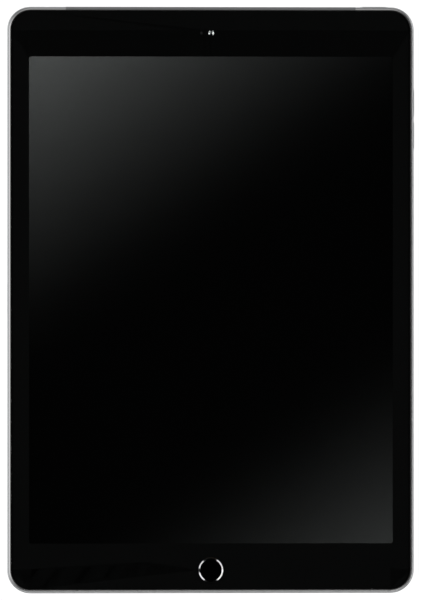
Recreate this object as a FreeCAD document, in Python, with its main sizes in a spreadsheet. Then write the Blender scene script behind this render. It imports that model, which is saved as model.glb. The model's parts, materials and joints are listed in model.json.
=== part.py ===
import FreeCAD, Part
import math
import os
import re
import Sketcher

# A tablet computer that lies on its back: +Z is out of the screen, +Y is towards the camera end and +X is
# towards the side with the volume buttons. The origin is the centre of the flat back. Sizes are in mm.
# "inset" is always a distance inwards from the outermost side, and "bottom" a height above the back.

DIMENSIONS = {
    # the whole body
    "body_width": 174.1,
    "body_length": 250.6,
    "body_height": 7.5,
    "corner_radius": 10.0,
    # section of the enclosure wall
    "rim_inset": 1.25,
    "rim_top": 7.3,
    "bevel": 0.55,
    "side_top": 5.3,
    "side_bottom": 3.6,
    "side_radius": 2.6,
    "belly_inset": 8.5,
    "floor_inset": 9.2,
    "floor_thickness": 0.9,
    "wall_thickness": 1.5,
    "inner_radius": 1.6,
    "ledge_inset": 4.4,
    "ledge_bottom": 5.4,
    "ledge_top": 6.25,
    # plastic window for the cellular antennas
    "window_width": 124.0,
    "window_depth": 13.3,
    "window_radius": 2.5,
    # cuts through the wall, each measured inwards from the side
    "key_slot_depth": 3.0,
    "sim_slot_depth": 3.2,
    "dock_slot_depth": 4.0,
    "side_port_depth": 2.0,
    "small_hole_depth": 3.0,
    # cover glass, its printed mask and its gasket
    "glass_inset": 1.65,
    "glass_thickness": 1.0,
    "glass_edge": 0.25,
    "mask_thickness": 0.1,
    "lip_thickness": 0.35,
    "lip_top": 7.35,
    "screen_width": 155.7,
    "screen_length": 208.1,
    "screen_shift": 0.15,
    "screen_radius": 1.0,
    # display module
    "display_width": 163.0,
    "display_length": 216.6,
    "display_shift": -0.5,
    "tray_bottom": 3.95,
    "tray_sheet": 0.3,
    "tray_wall": 0.4,
    "tray_top": 6.1,
    "tray_play": 0.15,
    "guide_thickness": 0.75,
    "diffuser_thickness": 0.2,
    "panel_thickness": 0.95,
    "polarizer_thickness": 0.1,
    "polarizer_margin": 0.8,
    "post_spacing": 127.6,
    "post_reach": 111.1,
    "post_radius": 1.8,
    "ear_radius": 2.2,
    "ear_length": 7.4,
    "ear_corner": 2.0,
    # machine screws, one size throughout
    "screw_radius": 0.6,
    "screw_head_radius": 1.3,
    "screw_head": 0.5,
    "screw_length": 2.6,
    "tapped_radius": 0.65,
    "through_radius": 0.8,
    "screw_clearance": 0.1,
    # battery
    "cell_width": 61.0,
    "cell_length": 176.0,
    "cell_height": 2.75,
    "cell_gap": 1.0,
    "cell_radius": 1.2,
    "battery_shift": -17.8,
    "adhesive_thickness": 0.1,
    "adhesive_width": 10.0,
    "adhesive_length": 150.0,
    "battery_board_length": 40.0,
    "battery_board_width": 4.6,
    "battery_board_gap": 3.0,
    # logic board
    "board_width": 34.0,
    "board_length": 161.0,
    "board_middle": 64.5,
    "board_shift": 14.5,
    "board_bottom": 1.6,
    "board_thickness": 0.8,
    "boss_radius": 1.6,
    "boss_inset": 3.0,
    "boss_end_inset": 4.0,
    "can_margin": 4.0,
    "can_height": 1.15,
    "can_sheet": 0.15,
    "plug_width": 2.4,
    "plug_length": 9.0,
    "plug_height": 0.8,
    "plug_inset": 1.8,
    # flat cables from the glass and the display
    "flex_thickness": 0.1,
    "flex_play": 0.02,
    "flex_bend": 0.4,
    "flex_landing": 3.0,
    "display_flex_width": 12.0,
    "display_flex_start": 10.0,
    "display_flex_place": 60.0,
    "touch_flex_width": 14.0,
    "touch_flex_gap": 0.6,
    "touch_flex_place": 27.0,
    # home button
    "home_reach": 115.45,
    "home_hole_radius": 5.42,
    "home_ring_radius": 5.3,
    "home_ring_inner": 4.7,
    "home_ring_top": 7.45,
    "home_ring_low": 7.2,
    "home_ring_edge": 0.06,
    "home_cap_radius": 4.67,
    "home_cap_bottom": 6.6,
    "home_cap_middle": 7.0,
    "home_cap_edge": 7.15,
    "home_sensor_radius": 5.25,
    "home_sensor_bottom": 6.1,
    "home_switch_radius": 1.6,
    "home_switch_height": 0.25,
    "bracket_bottom": 5.3,
    "bracket_sheet": 0.25,
    "bracket_reach": 9.0,
    "bracket_foot": 6.0,
    "bracket_width": 8.0,
    "home_gasket_radius": 7.4,
    "home_gasket_inner": 5.6,
    "home_gasket_thickness": 0.25,
    "home_gasket_play": 0.05,
    "home_flex_width": 6.0,
    "home_flex_start": -0.9,
    "home_flex_bend": 6.25,
    "home_flex_end": 23.5,
    "home_flex_drop": 0.15,
    # buttons on the sides
    "key_middle": 4.3,
    "key_height": 2.6,
    "key_proud": 0.15,
    "key_clearance": 0.12,
    "key_depth": 1.65,
    "flange_bottom": 3.35,
    "flange_top": 5.3,
    "flange_depth": 2.1,
    "flange_extra": 1.0,
    "switch_inset": 2.45,
    "switch_depth": 0.9,
    "switch_length": 5.0,
    "switch_bottom": 3.5,
    "switch_top": 5.1,
    "switch_board": 0.15,
    "switch_board_extra": 3.5,
    "top_key_length": 12.0,
    "top_key_place": 70.0,
    "volume_key_length": 11.5,
    "volume_up_place": 84.3,
    "volume_down_place": 70.3,
    # SIM tray, its reader and its ejector
    "sim_place": -78.0,
    "sim_door_length": 17.0,
    "sim_door_height": 2.2,
    "sim_door_middle": 3.2,
    "sim_door_depth": 2.2,
    "sim_shift": -1.3,
    "sim_tray_width": 10.8,
    "sim_tray_start": 1.4,
    "sim_tray_inset": 16.5,
    "sim_tray_bottom": 2.5,
    "sim_tray_thickness": 0.9,
    "sim_card_length": 12.4,
    "sim_card_width": 8.9,
    "sim_card_depth": 0.6,
    "sim_card_margin": 0.8,
    "sim_cavity_bottom": 2.3,
    "sim_cavity_top": 3.55,
    "sim_cavity_inset": 25.5,
    "sim_cavity_low": 7.7,
    "sim_cavity_high": 7.9,
    "reader_front": 3.4,
    "reader_front_bottom": 2.0,
    "reader_top": 3.75,
    "reader_inset": 27.0,
    "reader_width": 17.4,
    "eject_hole_depth": 4.0,
    "plunger_offset": 6.4,
    "plunger_height": 3.0,
    "plunger_start": 2.6,
    "plunger_radius": 0.4,
    "plunger_play": 0.05,
    "plunger_gap": 0.1,
    "lever_inset": 18.35,
    "lever_offset": 2.5,
    "lever_width": 1.6,
    "lever_reach": 4.9,
    "lever_short_reach": 3.9,
    "lever_bottom": 2.7,
    "lever_thickness": 0.6,
    "lever_boss": 0.3,
    "pin_radius": 0.5,
    "pin_clearance": 0.06,
    # mouldings inside the end walls
    "moulding_front": 2.35,
    "moulding_front_bottom": 2.4,
    "moulding_heel": 8.9,
    "moulding_bottom": 1.05,
    # ports
    "port_middle": 3.6,
    "dock_width": 9.0,
    "dock_height": 2.9,
    "dock_shell_width": 10.8,
    "dock_shell_bottom": 1.9,
    "dock_shell_height": 3.35,
    "dock_start": 3.3,
    "dock_end": 8.9,
    "dock_back": 0.7,
    "contact_pitch": 0.8,
    "contact_length": 3.0,
    "contact_height": 0.2,
    "jack_place": -70.0,
    "jack_bore_radius": 1.8,
    "jack_depth": 14.0,
    "jack_nose_inset": 0.3,
    "jack_nose_radius": 2.15,
    "jack_nose_length": 4.7,
    "jack_hole_radius": 2.2,
    "jack_width": 7.2,
    "jack_front": 4.6,
    "jack_front_bottom": 1.7,
    "jack_back": 15.5,
    "jack_top": 6.15,
    # sound
    "speaker_place": 39.0,
    "speaker_width": 34.0,
    "speaker_back": 16.2,
    "speaker_top": 5.15,
    "chamber_start": 16.0,
    "chamber_end": 28.0,
    "chamber_play": 0.2,
    "speaker_hole_radius": 0.5,
    "speaker_pitch": 1.9,
    "speaker_row": 2.9,
    "speaker_row_gap": 1.6,
    "mesh_inset": 2.15,
    "mesh_thickness": 0.15,
    "mesh_length": 32.0,
    "mesh_bottom": 2.35,
    "mesh_height": 2.8,
    "mic_hole_radius": 0.5,
    "mic_middle": 4.2,
    "mic_width": 3.5,
    "mic_depth": 1.2,
    "mic_height": 2.4,
    "mic_inset": 2.3,
    # antennas
    "carrier_place": 35.0,
    "carrier_width": 46.0,
    "carrier_back": 14.5,
    "carrier_top": 5.35,
    "wifi_place": 74.0,
    "wifi_reach": 112.0,
    "wifi_width": 8.0,
    "wifi_length": 7.0,
    "wifi_height": 2.5,
    # cameras and the light sensor
    "camera_reach": 114.1,
    "front_camera_place": 0.2,
    "front_window_radius": 1.2,
    "front_camera_size": 6.0,
    "front_camera_bottom": 3.0,
    "front_camera_height": 2.5,
    "front_barrel_radius": 2.2,
    "front_lens_radius": 1.38,
    "front_lens_bottom": 5.8,
    "front_trim_bottom": 6.0,
    "front_trim_radius": 1.35,
    "front_trim_flare": 1.25,
    "front_trim_hole": 0.42,
    "light_sensor_place": -3.95,
    "light_sensor_size": 2.0,
    "light_sensor_height": 0.6,
    "light_window_radius": 0.65,
    "rear_camera_place": 74.0,
    "rear_camera_reach": 112.5,
    "rear_hole_radius": 3.5,
    "rear_lens_radius": 2.65,
    "rear_lens_bottom": 0.2,
    "rear_lens_height": 0.7,
    "rear_recess": 0.05,
    "rear_camera_size": 8.4,
    "rear_camera_height": 3.6,
    "rear_camera_gap": 0.1,
    # side connector for covers
    "side_port_length": 13.5,
    "side_port_height": 2.4,
    "side_contact_radius": 0.85,
    "side_contact_pitch": 4.5,
    "side_contact_length": 2.0,
    "side_contact_recess": 0.06,
    "magnet_inset": 3.2,
    "magnet_bottom": 2.7,
    "magnet_width": 2.0,
    "magnet_length": 10.0,
    "magnet_height": 2.6,
    "snug_gap": 0.03,
}

SIDE = "body_width / 2"
END = "body_length / 2"
GLASS_BOTTOM = "(body_height - glass_thickness)"
MASK_BOTTOM = "(body_height - glass_thickness - mask_thickness)"
BOARD_TOP = "(board_bottom + board_thickness)"
BOARD_EDGES = ("board_middle - board_width / 2", "board_middle + board_width / 2")
SPEAKER_COLUMNS = 16
SPEAKER_ROWS = 2
DOCK_CONTACTS = 8
SIDE_CONTACTS = (-1, 0, 1)
# how far a cutting tool stands out of what it cuts
OUTSIDE = "1"
# what stands on the logic board: each chip's x, y, width, length and height, each can's y and length, and
# each plug's y
CHIPS = ((64.5, 52, 15, 15, 0.9), (64.5, 32, 13, 10, 0.8), (57.5, -6, 8, 8, 0.8), (70, -6, 9, 7, 0.7),
         (64.5, -20, 11, 6, 0.7), (64.5, -46, 12, 10, 0.9), (60, 78, 12, 14, 0.9), (72, 76, 6, 6, 0.6))
SHIELD_CANS = ((42, 44), (-12, 36), (-46, 20))
LEFT_PLUGS = (80, 60, -5, -40)
RIGHT_PLUGS = (76, 27)
# where the magnets that hold a cover stand along the left side
MAGNET_ROWS = (-96, -82, -36, -22, 22, 36, 82, 96)

document = FreeCAD.newDocument("Tablet")
sheet = document.addObject("Spreadsheet::Sheet", "Dims")
nodes = []


# ---- helpers -------------------------------------------------------------------------------------

def fill_sheet():
    """Write each driving dimension into a cell of the sheet, under its name."""
    for row, (name, value) in enumerate(DIMENSIONS.items(), start=1):
        sheet.set(f"A{row}", name)
        sheet.set(f"B{row}", str(value))
        sheet.setAlias(f"B{row}", name)
    document.recompute()


def formula(text):
    """The text with every dimension's name pointing at its cell."""
    def pointed(match):
        word = match.group()
        return f"Dims.{word}" if word in DIMENSIONS else word
    return re.sub(r"[a-z][a-z_]*", pointed, str(text))


def number(text):
    """What a formula gives now."""
    result = sheet.evalExpression(formula(text))
    return float(getattr(result, "Value", result))


def bind(item, formulas):
    """Bind properties of an object to formulas of the sheet's cells."""
    for path, text in formulas.items():
        item.setExpression(path, formula(text))
    return item


def put(item, place):
    """Bind an object's place to three formulas."""
    x, y, z = place
    return bind(item, {"Placement.Base.x": x, "Placement.Base.y": y, "Placement.Base.z": z})


def block(name, size, place):
    """A box: its size along X, Y and Z, and the place of the middle of its underside."""
    item = document.addObject("Part::Box", name)
    bind(item, {"Length": size[0], "Width": size[1], "Height": size[2]})
    return put(item, (f"({place[0]}) - ({size[0]}) / 2", f"({place[1]}) - ({size[1]}) / 2", place[2]))


def span(name, x, y, z):
    """A box between two formulas along each of X, Y and Z."""
    item = document.addObject("Part::Box", name)
    lengths = [f"({high}) - ({low})" for low, high in (x, y, z)]
    bind(item, {"Length": lengths[0], "Width": lengths[1], "Height": lengths[2]})
    return put(item, (x[0], y[0], z[0]))


def cylinder(name, radius, length, place, along="Z"):
    """A cylinder that runs from its place in the positive direction of one axis."""
    item = document.addObject("Part::Cylinder", name)
    bind(item, {"Radius": radius, "Height": length})
    if along == "X":
        item.Placement.Rotation = FreeCAD.Rotation(FreeCAD.Vector(0, 1, 0), 90)
    if along == "Y":
        item.Placement.Rotation = FreeCAD.Rotation(FreeCAD.Vector(1, 0, 0), -90)
    return put(item, place)


def cut(name, base, tool):
    item = document.addObject("Part::Cut", name)
    item.Base = base
    item.Tool = tool
    return item


def common(name, base, tool):
    item = document.addObject("Part::Common", name)
    item.Base = base
    item.Tool = tool
    return item


def fuse(name, items):
    item = document.addObject("Part::MultiFuse", name)
    item.Shapes = items
    return item


def group(name, items):
    """Separate solids that share one node."""
    item = document.addObject("Part::Compound", name)
    item.Links = items
    return item


def node(name, item):
    """Keep an object as a sub-part under its own label."""
    item.Label = name
    nodes.append(item)
    return item


# ---- sketches ------------------------------------------------------------------------------------

def fix(sketch, axis, geometry, point, text):
    """Dimension a sketch point from the sketch's origin, along X or Y."""
    constraint = Sketcher.Constraint("Distance" + axis, -1, 1, geometry, point, number(text))
    sketch.setExpression(f"Constraints[{sketch.addConstraint(constraint)}]", formula(text))


def fix_radius(sketch, geometry, text):
    constraint = Sketcher.Constraint("Radius", geometry, number(text))
    sketch.setExpression(f"Constraints[{sketch.addConstraint(constraint)}]", formula(text))


def line(sketch, start, end):
    return sketch.addGeometry(Part.LineSegment(FreeCAD.Vector(*start, 0), FreeCAD.Vector(*end, 0)))


def arc(sketch, middle, radius, first_angle, last_angle):
    """An anticlockwise arc between two angles in degrees."""
    circle = Part.Circle(FreeCAD.Vector(*middle, 0), FreeCAD.Vector(0, 0, 1), radius)
    return sketch.addGeometry(Part.ArcOfCircle(circle, math.radians(first_angle), math.radians(last_angle)))


def circle_loop(sketch, x, y, radius):
    middle = FreeCAD.Vector(number(x), number(y), 0)
    circle = sketch.addGeometry(Part.Circle(middle, FreeCAD.Vector(0, 0, 1), number(radius)))
    fix_radius(sketch, circle, radius)
    fix(sketch, "X", circle, 3, x)
    fix(sketch, "Y", circle, 3, y)


def rounded_loop(sketch, width, length, radius, x="0", y="0"):
    """A rectangle about a middle point, with its corners rounded."""
    middle_x, middle_y, r = number(x), number(y), number(radius)
    reach_x, reach_y = number(width) / 2, number(length) / 2
    corners = [(1, 1), (-1, 1), (-1, -1), (1, -1)]
    arcs, ends = [], []
    for turn, (sign_x, sign_y) in enumerate(corners):
        centre = (middle_x + sign_x * (reach_x - r), middle_y + sign_y * (reach_y - r))
        arcs.append(arc(sketch, centre, r, 90 * turn, 90 * turn + 90))
        steps = [(sign_x, 0), (0, sign_y)] if turn % 2 == 0 else [(0, sign_y), (sign_x, 0)]
        ends.append([(centre[0] + r * step_x, centre[1] + r * step_y) for step_x, step_y in steps])
    lines = [line(sketch, ends[turn][1], ends[(turn + 1) % 4][0]) for turn in range(4)]
    for turn in range(4):
        sketch.addConstraint(Sketcher.Constraint("Tangent", arcs[turn], 2, lines[turn], 1))
        sketch.addConstraint(Sketcher.Constraint("Tangent", lines[turn], 2, arcs[(turn + 1) % 4], 1))
        sketch.addConstraint(Sketcher.Constraint("Vertical" if turn % 2 else "Horizontal", lines[turn]))
        if turn:
            sketch.addConstraint(Sketcher.Constraint("Equal", arcs[0], arcs[turn]))
    fix_radius(sketch, arcs[0], radius)
    fix(sketch, "Y", lines[0], 1, f"({y}) + ({length}) / 2")
    fix(sketch, "X", lines[1], 1, f"({x}) - ({width}) / 2")
    fix(sketch, "Y", lines[2], 1, f"({y}) - ({length}) / 2")
    fix(sketch, "X", lines[3], 1, f"({x}) + ({width}) / 2")


def pill_loop(sketch, length, height):
    """A slot shape about the origin, its round ends left and right."""
    r = number(height) / 2
    reach = number(length) / 2 - r
    right = arc(sketch, (reach, 0), r, -90, 90)
    left = arc(sketch, (-reach, 0), r, 90, 270)
    top = line(sketch, (reach, r), (-reach, r))
    base = line(sketch, (-reach, -r), (reach, -r))
    for first, first_end, second, second_end in ((right, 2, top, 1), (top, 2, left, 1),
                                                 (left, 2, base, 1), (base, 2, right, 1)):
        sketch.addConstraint(Sketcher.Constraint("Tangent", first, first_end, second, second_end))
    sketch.addConstraint(Sketcher.Constraint("Equal", right, left))
    sketch.addConstraint(Sketcher.Constraint("Horizontal", top))
    fix_radius(sketch, right, f"({height}) / 2")
    fix(sketch, "X", right, 3, f"({length}) / 2 - ({height}) / 2")
    fix(sketch, "X", left, 3, f"({height}) / 2 - ({length}) / 2")
    fix(sketch, "Y", right, 3, "0")


def polygon_loop(sketch, *points):
    """Straight edges through points, each a pair of formulas."""
    corners = [(number(x), number(y)) for x, y in points]
    lines = [line(sketch, start, end) for start, end in zip(corners, corners[1:] + corners[:1])]
    for index, (x, y) in enumerate(points):
        sketch.addConstraint(Sketcher.Constraint("Coincident", lines[index - 1], 2, lines[index], 1))
        fix(sketch, "X", lines[index], 1, x)
        fix(sketch, "Y", lines[index], 1, y)


def new_body(name, place=("0", "0", "0")):
    return put(document.addObject("PartDesign::Body", name), place)


def new_sketch(body, plane="XY_Plane", offset="0"):
    """A sketch on one of the body's own origin planes, moved off it in the positive direction."""
    support = next(item for item in body.Origin.OriginFeatures if item.Role == plane)
    sketch = body.newObject("Sketcher::SketchObject", body.Name + "_sketch")
    sketch.AttachmentSupport = (support, [""])
    sketch.MapMode = "FlatFace"
    sign = "-" if plane == "XZ_Plane" else ""
    return bind(sketch, {"AttachmentOffset.Base.z": f"{sign}({offset})"})


def pad_layer(body, loops, thickness, plane="XY_Plane", offset="0"):
    """Pad loops, each a drawing function with its arguments, in the positive direction of a plane's axis."""
    sketch = new_sketch(body, plane, offset)
    for draw, *arguments in loops:
        draw(sketch, *arguments)
    pad = body.newObject("PartDesign::Pad", body.Name + "_pad")
    pad.Profile = sketch
    pad.Reversed = plane == "XZ_Plane"
    sketch.Visibility = False
    return bind(pad, {"Length": thickness})


def padded(name, loops, thickness, place=("0", "0", "0"), plane="XY_Plane"):
    """A body made by one pad."""
    body = new_body(name, place)
    pad_layer(body, loops, thickness, plane)
    return body


def round_top(body, radius):
    """Fillet the edges of a body's upper face."""
    document.recompute()
    shape = body.Tip.Shape
    top = shape.BoundBox.ZMax
    names = [f"Edge{index}" for index, edge in enumerate(shape.Edges, start=1)
             if all(abs(vertex.Z - top) < 1e-6 for vertex in edge.Vertexes)]
    fillet = body.newObject("PartDesign::Fillet", body.Name + "_fillet")
    fillet.Base = (body.Group[-2], names)
    return bind(fillet, {"Radius": radius})


def outline(inset):
    """The device's outline moved inwards, as a loop."""
    sizes = [f"{size} - 2 * ({inset})" for size in ("body_width", "body_length")]
    return (rounded_loop, *sizes, f"corner_radius - ({inset})")


# ---- rear enclosure ------------------------------------------------------------------------------

def wall_section(sketch):
    """The closed section of the wall at the right-hand side: u is the inset and z the height."""
    def at(u, z):
        return (number(f"{SIDE} - ({u})"), number(z))

    def pin(geometry, u=None, z=None):
        if u is not None:
            fix(sketch, "X", geometry, 1, f"{SIDE} - ({u})")
        if z is not None:
            fix(sketch, "Y", geometry, 1, z)

    def blend_arcs(low, small_radius, small_inset):
        """Two tangent arcs from the floor to the upright side: their middles, radii and shared angle."""
        rise = number("side_bottom") - low
        small = number(small_radius)
        run = number("belly_inset") - number(small_inset) - small
        large = (run ** 2 + rise ** 2 - small ** 2) / (2 * (rise - small))
        small_middle = at(f"({small_inset}) + {small}", "side_bottom")
        large_middle = at("belly_inset", low + large)
        angle = math.degrees(math.atan2(small_middle[1] - large_middle[1], small_middle[0] - large_middle[0]))
        return small_middle, small, large_middle, large, angle

    bevel_foot = ("rim_inset - bevel", "rim_top - bevel")
    rise = number("rim_top - bevel - side_top")
    foot = number("rim_inset - bevel")
    crown = (rise ** 2 + foot ** 2) / (2 * foot)
    crown_middle = at(crown, "side_top")
    crown_angle = math.degrees(math.atan2(rise, crown - foot))
    outer = blend_arcs(0.0, "side_radius", "0")
    inner = blend_arcs(number("floor_thickness"), "inner_radius", "wall_thickness")

    bevel = line(sketch, at("rim_inset", "rim_top"), at(*bevel_foot))
    shoulder = arc(sketch, crown_middle, crown, 0, crown_angle)
    side = line(sketch, at("0", "side_top"), at("0", "side_bottom"))
    hip = arc(sketch, outer[0], outer[1], outer[4], 0)
    belly = arc(sketch, outer[2], outer[3], -90, outer[4])
    back = line(sketch, at("belly_inset", "0"), at("floor_inset", "0"))
    step = line(sketch, at("floor_inset", "0"), at("floor_inset", "floor_thickness"))
    floor = line(sketch, at("floor_inset", "floor_thickness"), at("belly_inset", "floor_thickness"))
    inner_belly = arc(sketch, inner[2], inner[3], -90, inner[4])
    inner_hip = arc(sketch, inner[0], inner[1], inner[4], 0)
    inner_side = line(sketch, at("wall_thickness", "side_bottom"), at("wall_thickness", "ledge_bottom"))
    ledge_base = line(sketch, at("wall_thickness", "ledge_bottom"), at("ledge_inset", "ledge_bottom"))
    ledge_nose = line(sketch, at("ledge_inset", "ledge_bottom"), at("ledge_inset", "ledge_top"))
    ledge = line(sketch, at("ledge_inset", "ledge_top"), at("rim_inset", "ledge_top"))
    rim = line(sketch, at("rim_inset", "ledge_top"), at("rim_inset", "rim_top"))

    tangents = ((shoulder, 1, side, 1), (side, 2, hip, 2), (hip, 1, belly, 2), (belly, 1, back, 1),
                (floor, 2, inner_belly, 1), (inner_belly, 2, inner_hip, 1), (inner_hip, 2, inner_side, 1))
    corners = ((bevel, 2, shoulder, 2), (back, 2, step, 1), (step, 2, floor, 1),
               (inner_side, 2, ledge_base, 1), (ledge_base, 2, ledge_nose, 1), (ledge_nose, 2, ledge, 1),
               (ledge, 2, rim, 1), (rim, 2, bevel, 1))
    for kind, joints in (("Tangent", tangents), ("Coincident", corners)):
        for joint in joints:
            sketch.addConstraint(Sketcher.Constraint(kind, *joint))
    for upright in (side, step, inner_side, ledge_nose, rim):
        sketch.addConstraint(Sketcher.Constraint("Vertical", upright))
    for level in (back, floor, ledge_base, ledge):
        sketch.addConstraint(Sketcher.Constraint("Horizontal", level))
    pin(bevel, "rim_inset", "rim_top")
    fix(sketch, "X", bevel, 2, f"{SIDE} - (rim_inset - bevel)")
    fix(sketch, "Y", bevel, 2, "rim_top - bevel")
    pin(side, "0", "side_top")
    fix(sketch, "Y", side, 2, "side_bottom")
    fix_radius(sketch, hip, "side_radius")
    pin(back, "belly_inset", "0")
    pin(step, "floor_inset")
    pin(floor, z="floor_thickness")
    fix(sketch, "X", floor, 2, f"{SIDE} - belly_inset")
    fix_radius(sketch, inner_hip, "inner_radius")
    pin(inner_side, "wall_thickness", "side_bottom")
    pin(ledge_base, z="ledge_bottom")
    pin(ledge_nose, "ledge_inset")
    pin(ledge, z="ledge_top")


def wall_path(sketch):
    """The device's outline as a path that starts halfway up the right-hand side."""
    side, end, r = number(SIDE), number(END), number("corner_radius")
    pieces = [
        line(sketch, (side, 0), (side, end - r)),
        arc(sketch, (side - r, end - r), r, 0, 90),
        line(sketch, (side - r, end), (r - side, end)),
        arc(sketch, (r - side, end - r), r, 90, 180),
        line(sketch, (-side, end - r), (-side, r - end)),
        arc(sketch, (r - side, r - end), r, 180, 270),
        line(sketch, (r - side, -end), (side - r, -end)),
        arc(sketch, (side - r, r - end), r, 270, 360),
        line(sketch, (side, r - end), (side, 0)),
    ]
    for first, second in zip(pieces, pieces[1:]):
        sketch.addConstraint(Sketcher.Constraint("Tangent", first, 2, second, 1))
    sketch.addConstraint(Sketcher.Constraint("Coincident", pieces[-1], 2, pieces[0], 1))
    for kind, lines in (("Vertical", (0, 4, 8)), ("Horizontal", (2, 6))):
        for index in lines:
            sketch.addConstraint(Sketcher.Constraint(kind, pieces[index]))
    for index in (3, 5, 7):
        sketch.addConstraint(Sketcher.Constraint("Equal", pieces[1], pieces[index]))
    fix_radius(sketch, pieces[1], "corner_radius")
    fix(sketch, "X", pieces[0], 1, SIDE)
    fix(sketch, "Y", pieces[0], 1, "0")
    fix(sketch, "Y", pieces[2], 1, END)
    fix(sketch, "X", pieces[4], 1, f"-{SIDE}")
    fix(sketch, "Y", pieces[6], 1, f"-{END}")


def post_places():
    """Where the four display posts stand."""
    return [(f"{sign} * post_spacing / 2", f"{end} * post_reach + display_shift")
            for sign in (-1, 1) for end in (-1, 1)]


def boss_places():
    """Where the six bosses under the logic board stand: two rows along its long edges."""
    columns = (f"{BOARD_EDGES[0]} + boss_inset", f"{BOARD_EDGES[1]} - boss_inset")
    rows = [f"board_shift + {step} * (board_length / 2 - boss_end_inset)" for step in (-1, 0, 1)]
    return [(x, y) for x in columns for y in rows]


def swept_shell():
    """The one-piece wall and floor, with its posts and bosses, before anything is cut into it."""
    body = new_body("swept_shell")
    pad_layer(body, [outline("floor_inset")], "floor_thickness")
    profile = new_sketch(body, "XZ_Plane")
    wall_section(profile)
    path = new_sketch(body)
    wall_path(path)
    document.recompute()
    pipe = body.newObject("PartDesign::AdditivePipe", "wall")
    pipe.Profile = profile
    pipe.Spine = (path, [f"Edge{index}" for index in range(1, path.GeometryCount + 1)])
    profile.Visibility = path.Visibility = False
    document.recompute()
    for places, radius, height in ((post_places(), "post_radius", "tray_bottom - floor_thickness"),
                                   (boss_places(), "boss_radius", "board_bottom - floor_thickness")):
        loops = [(circle_loop, x, y, r) for x, y in places for r in (radius, "tapped_radius")]
        pad_layer(body, loops, height, offset="floor_thickness")
    return body


def side_pill(name, length, height, start, end, middle, place, face):
    """A pill-shaped bar through one side wall: face is right, left or top; start and end are insets."""
    depth = f"({end}) - ({start})"
    loops = [(pill_loop, length, height)]
    if face == "right":
        return padded(name, loops, depth, (f"{SIDE} - ({end})", place, middle), "YZ_Plane")
    if face == "left":
        return padded(name, loops, depth, (f"-{SIDE} + ({start})", place, middle), "YZ_Plane")
    if face == "top":
        return padded(name, loops, depth, (place, f"{END} - ({end})", middle), "XZ_Plane")
    return padded(name, loops, depth, (place, f"-{END} + ({start})", middle), "XZ_Plane")


def key_slot(name, length, place, face):
    """The opening that a side button slides in."""
    wide = f"({length}) + 2 * key_clearance"
    high = "key_height + 2 * key_clearance"
    return side_pill(name, wide, high, f"-{OUTSIDE}", "key_slot_depth", "key_middle", place, face)


def speaker_drills():
    """Rows of small round holes through the lower end, in front of each speaker."""
    depth = f"small_hole_depth + {OUTSIDE}"
    drills = []
    for sign in (-1, 1):
        for column in range(SPEAKER_COLUMNS):
            x = f"{sign} * speaker_place + ({column} - {(SPEAKER_COLUMNS - 1) / 2}) * speaker_pitch"
            for row in range(SPEAKER_ROWS):
                z = f"speaker_row + {row} * speaker_row_gap"
                place = (x, f"-{END} - {OUTSIDE}", z)
                drills.append(cylinder("speaker_drill", "speaker_hole_radius", depth, place, "Y"))
    return drills


def enclosure_cutters():
    """Everything that is machined out of the shell."""
    out = f"-{OUTSIDE}"
    jack = ("jack_place", f"{END} - jack_nose_length - jack_nose_inset", "port_middle")
    jack_depth = f"jack_nose_length + jack_nose_inset + {OUTSIDE}"
    camera = ("rear_camera_place", "rear_camera_reach", out)
    sim = ("sim_door_length + 2 * key_clearance", "sim_door_height + 2 * key_clearance")
    port = ("side_port_length", "side_port_height")
    dock = ("dock_width", "dock_height")
    return [
        cylinder("jack_drill", "jack_hole_radius", jack_depth, jack, "Y"),
        cylinder("mic_drill", "mic_hole_radius", f"small_hole_depth + {OUTSIDE}",
                 ("0", f"{END} - small_hole_depth", "mic_middle"), "Y"),
        cylinder("rear_camera_drill", "rear_hole_radius", f"floor_thickness + 2 * {OUTSIDE}", camera),
        key_slot("top_slot", "top_key_length", "top_key_place", "top"),
        key_slot("volume_up_slot", "volume_key_length", "volume_up_place", "right"),
        key_slot("volume_down_slot", "volume_key_length", "volume_down_place", "right"),
        side_pill("sim_slot", *sim, out, "sim_slot_depth", "sim_door_middle", "sim_place", "right"),
        side_pill("dock_slot", *dock, out, "dock_slot_depth", "port_middle", "0", "bottom"),
        side_pill("side_port_slot", *port, out, "side_port_depth", "key_middle", "0", "left"),
        *speaker_drills(),
    ]


def enclosure(shell):
    """The aluminium back and the plastic antenna window let into its top end."""
    machined = cut("machined_shell", shell, fuse("enclosure_tools", enclosure_cutters()))
    window = padded("window_block", [(rounded_loop, "window_width", "2 * window_depth", "window_radius")],
                    f"body_height + 2 * {OUTSIDE}", ("0", END, f"-{OUTSIDE}"))
    node("rear_enclosure", cut("rear_enclosure", machined, window))
    node("antenna_window", common("antenna_window", machined, window))


# ---- glass and display ---------------------------------------------------------------------------

def glass_stack():
    """The cover glass, the black mask printed on its back and the gasket round it."""
    home_hole = (circle_loop, "0", "-home_reach", "home_hole_radius")
    edge = outline("glass_inset")
    glass = padded("cover_glass", [edge, home_hole], "glass_thickness", ("0", "0", GLASS_BOTTOM))
    round_top(glass, "glass_edge")
    node("cover_glass", glass)
    loops = [
        edge,
        (rounded_loop, "screen_width", "screen_length", "screen_radius", "screen_shift", "0"),
        home_hole,
        (circle_loop, "front_camera_place", "camera_reach", "front_window_radius"),
        (circle_loop, "light_sensor_place", "camera_reach", "light_window_radius"),
    ]
    node("bezel_mask", padded("bezel_mask", loops, "mask_thickness", ("0", "0", MASK_BOTTOM)))
    gasket = new_body("glass_gasket", ("0", "0", "ledge_top"))
    flange = f"{MASK_BOTTOM} - ledge_top"
    lip = [outline("rim_inset"), outline("rim_inset + lip_thickness")]
    pad_layer(gasket, [outline("rim_inset"), outline("ledge_inset")], flange)
    pad_layer(gasket, lip, f"lip_top - {MASK_BOTTOM}", offset=flange)
    node("glass_gasket", gasket)


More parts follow.
